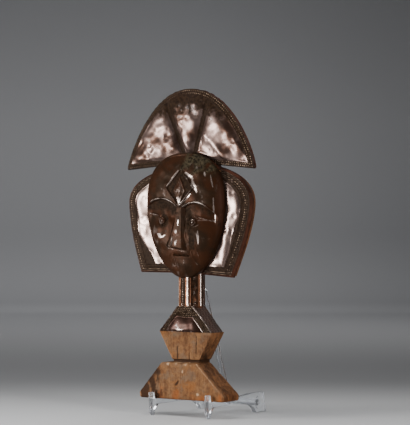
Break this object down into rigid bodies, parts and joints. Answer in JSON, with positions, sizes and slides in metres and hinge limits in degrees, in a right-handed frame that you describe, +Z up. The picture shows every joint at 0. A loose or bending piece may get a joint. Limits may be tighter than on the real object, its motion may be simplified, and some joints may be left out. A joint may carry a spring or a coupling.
{
  "type": "kota reliquary figure",
  "caption": "Flat wooden guardian figure dressed in hammered copper sheet, with a fan-shaped crest, side wings, oval face, round neck and lozenge body, on a clear easel.",
  "frame": {"origin": "on the floor, under the middle of the box round the figure and its easel", "axes": "+Z up; the figure faces -Y; +X is on the viewer's right; the easel runs on behind the figure towards +Y"},
  "size_m": [0.231, 0.1561, 0.488],
  "materials": {
    "wood": "bare carved hardwood, orange-brown, dry, with tool marks and worn edges",
    "copper": "hammered copper sheet with a dark brown patina, polished where it is raised",
    "clear_plastic": "clear moulded plastic, glossy"
  },
  "bodies": {
    "root": {"wooden_figure": "wood", "crest_sheet": "copper", "left_wing_sheet": "copper", "right_wing_sheet": "copper", "face_sheet": "copper", "neck_sheet": "copper", "shoulder_sheet": "copper", "clear_easel": "clear_plastic"}
  },
  "joints": []
}
